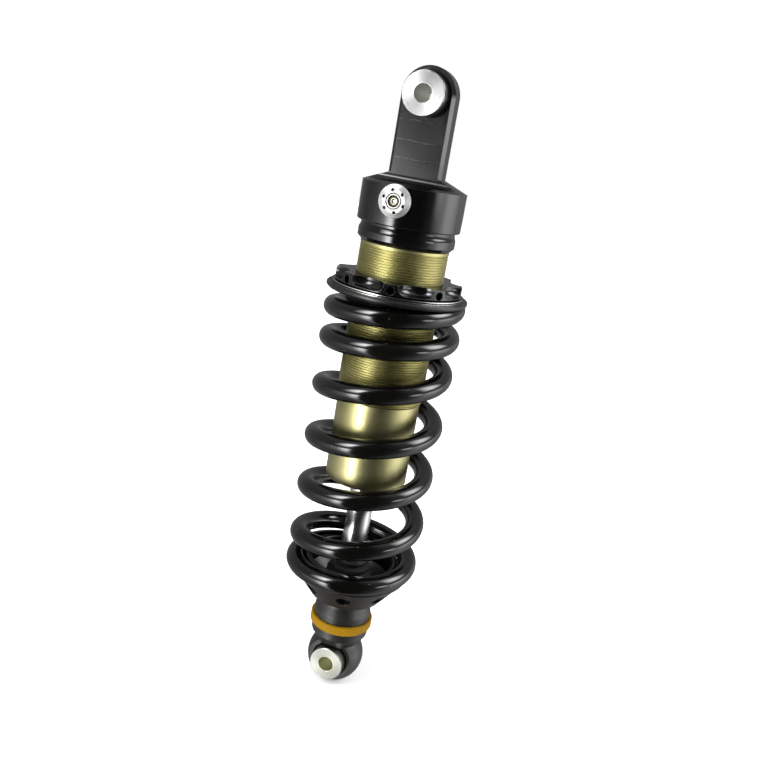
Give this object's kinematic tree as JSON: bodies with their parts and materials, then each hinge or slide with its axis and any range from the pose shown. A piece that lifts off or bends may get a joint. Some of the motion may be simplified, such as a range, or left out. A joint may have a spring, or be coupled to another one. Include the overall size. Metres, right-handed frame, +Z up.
{
  "type": "coilover shock absorber",
  "caption": "Rear coilover shock: mono-tube damper with threaded spring preload, coil spring, rebound adjuster ring, gas valve and spherical bolt eyes.",
  "frame": {"origin": "centre of the lower eye's bolt bore, with the damper fully extended", "axes": "+Z up the damper to the upper eye, +-Y along both bolt bores with the gas valve on -Y, +X to the right seen from -Y"},
  "size_m": [0.0836, 0.0836, 0.3888],
  "materials": {
    "cap_black": "gloss black anodised",
    "tube_gold": "olive gold anodised, satin",
    "seal_rubber": "moulded nitrile rubber",
    "valve_bright": "turned, bright",
    "valve_brass": "turned",
    "head_aluminium": "turned",
    "bearing_steel": "ground",
    "bush_bronze": "sintered bronze",
    "rod_chrome": "ground and hard chromed",
    "bumper_plastic": "filled plastic",
    "eye_black": "satin black anodised",
    "ring_gold": "mustard gold anodised over a blasted surface",
    "seat_black": "semi-gloss black anodised",
    "bump_rubber": "cellular rubber",
    "washer_steel": "thin ground steel",
    "collar_black": "black anodised with turned edges",
    "spring_black": "gloss black powder coat",
    "spacer_aluminium": "faced, radial turning marks",
    "spacer_steel": "faced, dull"
  },
  "bodies": {
    "damper_body": {"top_cap": "cap_black", "damper_tube": "tube_gold", "cap_o_ring": "seal_rubber", "gas_valve_body": "valve_bright", "gas_valve_screw": "valve_brass", "gas_valve_o_ring": "seal_rubber", "seal_head": "head_aluminium", "seal_head_o_ring": "seal_rubber", "seal_head_clip": "bearing_steel", "rod_bush": "bush_bronze", "rod_seal": "seal_rubber", "rod_wiper": "seal_rubber", "top_bearing_race": "bearing_steel", "top_bearing_clips": "bearing_steel", "coil_spring": "spring_black"},
    "floating_piston": {"floating_piston": "head_aluminium", "floating_piston_o_ring": "seal_rubber"},
    "rod_assembly": {"piston_rod": "rod_chrome", "top_out_bumper": "bumper_plastic", "stack_washer": "bearing_steel", "rebound_shims": "bearing_steel", "piston": "head_aluminium", "piston_band": "bumper_plastic", "compression_shims": "bearing_steel", "piston_nut": "bearing_steel", "bump_stop": "bump_rubber", "lower_spring_seat": "seat_black", "adjuster_retainer": "eye_black", "lower_eye": "eye_black", "detent_ball": "bearing_steel", "detent_spring": "bearing_steel", "lower_bearing_race": "bearing_steel", "lower_bearing_clips": "bearing_steel"},
    "rebound_ring": {"rebound_ring": "ring_gold"},
    "rebound_needle": {"rebound_needle": "bearing_steel", "needle_cross_pin": "bearing_steel"},
    "spring_perch": {"upper_spring_seat": "seat_black", "slip_washers": "washer_steel"},
    "preload_collar": {"preload_collar": "collar_black"},
    "top_ball": {"top_ball": "bearing_steel"},
    "top_spacers": {"top_spacers": "spacer_aluminium"},
    "lower_ball": {"lower_ball": "bearing_steel"},
    "lower_spacers": {"lower_spacers": "spacer_steel"}
  },
  "joints": [
    {"name": "damper_stroke", "type": "slide", "parent": "damper_body", "child": "rod_assembly", "axis": [0, 0, 1], "range_m": [0, 0.055], "stiffness_N_per_m": 90000, "deforming": ["coil_spring"]},
    {"name": "gas_piston_slide", "type": "slide", "parent": "damper_body", "child": "floating_piston", "axis": [0, 0, 1], "range_m": [0, 0.0075]},
    {"name": "rebound_turn", "type": "hinge", "parent": "rod_assembly", "child": "rebound_ring", "pos_m": [0, 0, 0.02665], "axis": [0, 0, 1], "range_deg": [-165, 165]},
    {"name": "needle_slide", "type": "slide", "parent": "rod_assembly", "child": "rebound_needle", "axis": [0, 0, 1], "range_m": [-0.00081, 0.00081]},
    {"name": "preload_slide", "type": "slide", "parent": "damper_body", "child": "spring_perch", "axis": [0, 0, 1], "range_m": [-0.01201, 0.00451], "deforming": ["coil_spring"]},
    {"name": "preload_turn", "type": "hinge", "parent": "spring_perch", "child": "preload_collar", "pos_m": [0, 0, 0.2507], "axis": [0, 0, 1], "range_deg": [-2880, 1080]},
    {"name": "top_eye_tilt", "type": "hinge", "parent": "damper_body", "child": "top_ball", "pos_m": [0, 0, 0.355], "axis": [1, 0, 0], "range_deg": [-4, 4]},
    {"name": "top_eye_spin", "type": "hinge", "parent": "top_ball", "child": "top_spacers", "pos_m": [0, 0, 0.355], "axis": [0, 1, 0], "continuous": true},
    {"name": "lower_eye_tilt", "type": "hinge", "parent": "rod_assembly", "child": "lower_ball", "pos_m": [0, 0, 0], "axis": [1, 0, 0], "range_deg": [-3.5, 3.5]},
    {"name": "lower_eye_spin", "type": "hinge", "parent": "lower_ball", "child": "lower_spacers", "pos_m": [0, 0, 0], "axis": [0, 1, 0], "continuous": true}
  ],
  "couplings": [
    {"joint": "gas_piston_slide", "follows": "damper_stroke", "ratio": 0.13223},
    {"joint": "needle_slide", "follows": "rebound_turn", "m_per_rad": 0.0002778},
    {"joint": "preload_slide", "follows": "preload_turn", "m_per_rad": 0.00023873}
  ]
}
